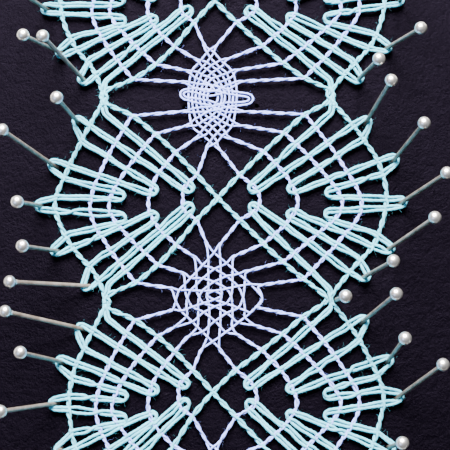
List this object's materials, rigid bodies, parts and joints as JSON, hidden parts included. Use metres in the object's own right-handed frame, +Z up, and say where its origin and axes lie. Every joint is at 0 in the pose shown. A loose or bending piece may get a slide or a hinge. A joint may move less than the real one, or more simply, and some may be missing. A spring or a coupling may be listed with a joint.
{
  "type": "blocking mats with pinned bobbin lace",
  "caption": "Interlocking felt-faced foam mats with dovetail edges, holding a scalloped strip of bobbin lace stretched out on ball-headed steel pins.",
  "frame": {"origin": "centre of the underside of the mat that carries the lace", "axes": "+Z up out of the mats, +Y along the lace strip, +X across it towards the second mat"},
  "size_m": [0.3164, 0.1641, 0.0279],
  "materials": {
    "foam": "matte closed-cell foam",
    "felt": "short dark nap",
    "lace_thread": "soft cotton thread",
    "pin_steel": "polished nickel plate"
  },
  "bodies": {
    "mat_1": {"mat_1_foam": "foam", "mat_1_felt": "felt"},
    "mat_2": {"mat_2_foam": "foam", "mat_2_felt": "felt"},
    "lace": {"lace_strip": "lace_thread"},
    "left_pin_11": {"left_pin_11": "pin_steel"},
    "left_pin_12": {"left_pin_12": "pin_steel"},
    "left_pin_13": {"left_pin_13": "pin_steel"},
    "left_pin_14": {"left_pin_14": "pin_steel"},
    "left_pin_15": {"left_pin_15": "pin_steel"},
    "left_pin_21": {"left_pin_21": "pin_steel"},
    "left_pin_22": {"left_pin_22": "pin_steel"},
    "left_pin_23": {"left_pin_23": "pin_steel"},
    "left_pin_24": {"left_pin_24": "pin_steel"},
    "left_pin_25": {"left_pin_25": "pin_steel"},
    "left_pin_31": {"left_pin_31": "pin_steel"},
    "left_pin_32": {"left_pin_32": "pin_steel"},
    "left_pin_33": {"left_pin_33": "pin_steel"},
    "left_pin_34": {"left_pin_34": "pin_steel"},
    "left_pin_35": {"left_pin_35": "pin_steel"},
    "left_pin_41": {"left_pin_41": "pin_steel"},
    "left_pin_42": {"left_pin_42": "pin_steel"},
    "left_pin_43": {"left_pin_43": "pin_steel"},
    "left_pin_44": {"left_pin_44": "pin_steel"},
    "left_pin_45": {"left_pin_45": "pin_steel"},
    "right_pin_11": {"right_pin_11": "pin_steel"},
    "right_pin_12": {"right_pin_12": "pin_steel"},
    "right_pin_13": {"right_pin_13": "pin_steel"},
    "right_pin_14": {"right_pin_14": "pin_steel"},
    "right_pin_15": {"right_pin_15": "pin_steel"},
    "right_pin_21": {"right_pin_21": "pin_steel"},
    "right_pin_22": {"right_pin_22": "pin_steel"},
    "right_pin_23": {"right_pin_23": "pin_steel"},
    "right_pin_24": {"right_pin_24": "pin_steel"},
    "right_pin_25": {"right_pin_25": "pin_steel"},
    "right_pin_31": {"right_pin_31": "pin_steel"},
    "right_pin_32": {"right_pin_32": "pin_steel"},
    "right_pin_33": {"right_pin_33": "pin_steel"},
    "right_pin_34": {"right_pin_34": "pin_steel"},
    "right_pin_35": {"right_pin_35": "pin_steel"},
    "right_pin_41": {"right_pin_41": "pin_steel"},
    "right_pin_42": {"right_pin_42": "pin_steel"},
    "right_pin_43": {"right_pin_43": "pin_steel"},
    "right_pin_44": {"right_pin_44": "pin_steel"},
    "right_pin_45": {"right_pin_45": "pin_steel"},
    "valley_pin": {"valley_pin": "pin_steel"},
    "end_pin_1": {"end_pin_1": "pin_steel"},
    "end_pin_2": {"end_pin_2": "pin_steel"},
    "end_pin_3": {"end_pin_3": "pin_steel"},
    "end_pin_4": {"end_pin_4": "pin_steel"}
  },
  "joints": [
    {"name": "mat_2_lift", "type": "slide", "parent": "mat_1", "child": "mat_2", "axis": [0, 0, 1], "range_m": [0, 0.03]},
    {"name": "lace_lift", "type": "slide", "parent": "mat_1", "child": "lace", "axis": [0, 0, 1], "range_m": [0, 0.025]},
    {"name": "left_pin_11_draw", "type": "slide", "parent": "mat_1", "child": "left_pin_11", "axis": [-0.1467, 0.0667, 0.9869], "range_m": [0, 0.014]},
    {"name": "left_pin_12_draw", "type": "slide", "parent": "mat_1", "child": "left_pin_12", "axis": [-0.24, -0.0533, 0.9693], "range_m": [0, 0.014]},
    {"name": "left_pin_13_draw", "type": "slide", "parent": "mat_1", "child": "left_pin_13", "axis": [-0.16, -0.1133, 0.9806], "range_m": [0, 0.014]},
    {"name": "left_pin_14_draw", "type": "slide", "parent": "mat_1", "child": "left_pin_14", "axis": [-0.2733, -0.0733, 0.9591], "range_m": [0, 0.014]},
    {"name": "left_pin_15_draw", "type": "slide", "parent": "mat_1", "child": "left_pin_15", "axis": [-0.34, 0.24, 0.9093], "range_m": [0, 0.014]},
    {"name": "left_pin_21_draw", "type": "slide", "parent": "mat_1", "child": "left_pin_21", "axis": [-0.1067, 0.0333, 0.9937], "range_m": [0, 0.014]},
    {"name": "left_pin_22_draw", "type": "slide", "parent": "mat_1", "child": "left_pin_22", "axis": [-0.42, 0.2067, 0.8837], "range_m": [0, 0.014]},
    {"name": "left_pin_23_draw", "type": "slide", "parent": "mat_1", "child": "left_pin_23", "axis": [-0.0933, -0.1133, 0.9892], "range_m": [0, 0.014]},
    {"name": "left_pin_24_draw", "type": "slide", "parent": "mat_1", "child": "left_pin_24", "axis": [-0.22, -0.0667, 0.9732], "range_m": [0, 0.014]},
    {"name": "left_pin_25_draw", "type": "slide", "parent": "mat_1", "child": "left_pin_25", "axis": [-0.7733, -0.0133, 0.6339], "range_m": [0, 0.014]},
    {"name": "left_pin_31_draw", "type": "slide", "parent": "mat_1", "child": "left_pin_31", "axis": [-0.7333, 0.14, 0.6653], "range_m": [0, 0.014]},
    {"name": "left_pin_32_draw", "type": "slide", "parent": "mat_1", "child": "left_pin_32", "axis": [-0.2933, 0.06, 0.9541], "range_m": [0, 0.014]},
    {"name": "left_pin_33_draw", "type": "slide", "parent": "mat_1", "child": "left_pin_33", "axis": [-0.42, -0.08, 0.904], "range_m": [0, 0.014]},
    {"name": "left_pin_34_draw", "type": "slide", "parent": "mat_1", "child": "left_pin_34", "axis": [-0.1133, -0.1733, 0.9783], "range_m": [0, 0.014]},
    {"name": "left_pin_35_draw", "type": "slide", "parent": "mat_1", "child": "left_pin_35", "axis": [-0.34, -0.1067, 0.9344], "range_m": [0, 0.014]},
    {"name": "left_pin_41_draw", "type": "slide", "parent": "mat_1", "child": "left_pin_41", "axis": [-0.22, 0.06, 0.9737], "range_m": [0, 0.014]},
    {"name": "left_pin_42_draw", "type": "slide", "parent": "mat_1", "child": "left_pin_42", "axis": [-0.1067, -0.08, 0.9911], "range_m": [0, 0.014]},
    {"name": "left_pin_43_draw", "type": "slide", "parent": "mat_1", "child": "left_pin_43", "axis": [-0.2933, 0.0533, 0.9545], "range_m": [0, 0.014]},
    {"name": "left_pin_44_draw", "type": "slide", "parent": "mat_1", "child": "left_pin_44", "axis": [-0.1933, 0.1, 0.976], "range_m": [0, 0.014]},
    {"name": "left_pin_45_draw", "type": "slide", "parent": "mat_1", "child": "left_pin_45", "axis": [-0.2467, -0.1467, 0.9579], "range_m": [0, 0.014]},
    {"name": "right_pin_11_draw", "type": "slide", "parent": "mat_1", "child": "right_pin_11", "axis": [0.1733, 0.1267, 0.9767], "range_m": [0, 0.014]},
    {"name": "right_pin_12_draw", "type": "slide", "parent": "mat_1", "child": "right_pin_12", "axis": [0.0933, -0.0667, 0.9934], "range_m": [0, 0.014]},
    {"name": "right_pin_13_draw", "type": "slide", "parent": "mat_1", "child": "right_pin_13", "axis": [0.0533, -0.06, 0.9968], "range_m": [0, 0.014]},
    {"name": "right_pin_14_draw", "type": "slide", "parent": "mat_1", "child": "right_pin_14", "axis": [0.2333, -0.06, 0.9705], "range_m": [0, 0.014]},
    {"name": "right_pin_15_draw", "type": "slide", "parent": "mat_1", "child": "right_pin_15", "axis": [0.1067, -0.04, 0.9935], "range_m": [0, 0.014]},
    {"name": "right_pin_21_draw", "type": "slide", "parent": "mat_1", "child": "right_pin_21", "axis": [0.1533, 0.22, 0.9634], "range_m": [0, 0.014]},
    {"name": "right_pin_22_draw", "type": "slide", "parent": "mat_1", "child": "right_pin_22", "axis": [0.1933, 0.2067, 0.9591], "range_m": [0, 0.014]},
    {"name": "right_pin_23_draw", "type": "slide", "parent": "mat_1", "child": "right_pin_23", "axis": [0.3533, 0.1667, 0.9205], "range_m": [0, 0.014]},
    {"name": "right_pin_24_draw", "type": "slide", "parent": "mat_1", "child": "right_pin_24", "axis": [0.3667, 0.22, 0.904], "range_m": [0, 0.014]},
    {"name": "right_pin_25_draw", "type": "slide", "parent": "mat_1", "child": "right_pin_25", "axis": [0.1933, 0.0667, 0.9789], "range_m": [0, 0.014]},
    {"name": "right_pin_31_draw", "type": "slide", "parent": "mat_1", "child": "right_pin_31", "axis": [0.24, 0.2133, 0.947], "range_m": [0, 0.014]},
    {"name": "right_pin_32_draw", "type": "slide", "parent": "mat_1", "child": "right_pin_32", "axis": [0.0533, 0.1933, 0.9797], "range_m": [0, 0.014]},
    {"name": "right_pin_33_draw", "type": "slide", "parent": "mat_1", "child": "right_pin_33", "axis": [0.3467, 0.32, 0.8817], "range_m": [0, 0.014]},
    {"name": "right_pin_34_draw", "type": "slide", "parent": "mat_1", "child": "right_pin_34", "axis": [0.0067, 0.0667, 0.9978], "range_m": [0, 0.014]},
    {"name": "right_pin_35_draw", "type": "slide", "parent": "mat_1", "child": "right_pin_35", "axis": [0.2267, 0.0733, 0.9712], "range_m": [0, 0.014]},
    {"name": "right_pin_41_draw", "type": "slide", "parent": "mat_1", "child": "right_pin_41", "axis": [0.16, -0.0467, 0.986], "range_m": [0, 0.014]},
    {"name": "right_pin_42_draw", "type": "slide", "parent": "mat_1", "child": "right_pin_42", "axis": [0.2533, 0.0867, 0.9635], "range_m": [0, 0.014]},
    {"name": "right_pin_43_draw", "type": "slide", "parent": "mat_1", "child": "right_pin_43", "axis": [0.1267, -0.1, 0.9869], "range_m": [0, 0.014]},
    {"name": "right_pin_44_draw", "type": "slide", "parent": "mat_1", "child": "right_pin_44", "axis": [0.28, 0.04, 0.9592], "range_m": [0, 0.014]},
    {"name": "right_pin_45_draw", "type": "slide", "parent": "mat_1", "child": "right_pin_45", "axis": [0.1867, -0.1733, 0.967], "range_m": [0, 0.014]},
    {"name": "valley_pin_draw", "type": "slide", "parent": "mat_1", "child": "valley_pin", "axis": [0.0067, -0.0467, 0.9989], "range_m": [0, 0.014]},
    {"name": "end_pin_1_draw", "type": "slide", "parent": "mat_1", "child": "end_pin_1", "axis": [-0.12, 0.1933, 0.9738], "range_m": [0, 0.014]},
    {"name": "end_pin_2_draw", "type": "slide", "parent": "mat_1", "child": "end_pin_2", "axis": [0.16, 0.22, 0.9623], "range_m": [0, 0.014]},
    {"name": "end_pin_3_draw", "type": "slide", "parent": "mat_1", "child": "end_pin_3", "axis": [-0.1467, -0.2067, 0.9674], "range_m": [0, 0.014]},
    {"name": "end_pin_4_draw", "type": "slide", "parent": "mat_1", "child": "end_pin_4", "axis": [0.1, -0.1733, 0.9798], "range_m": [0, 0.014]}
  ]
}
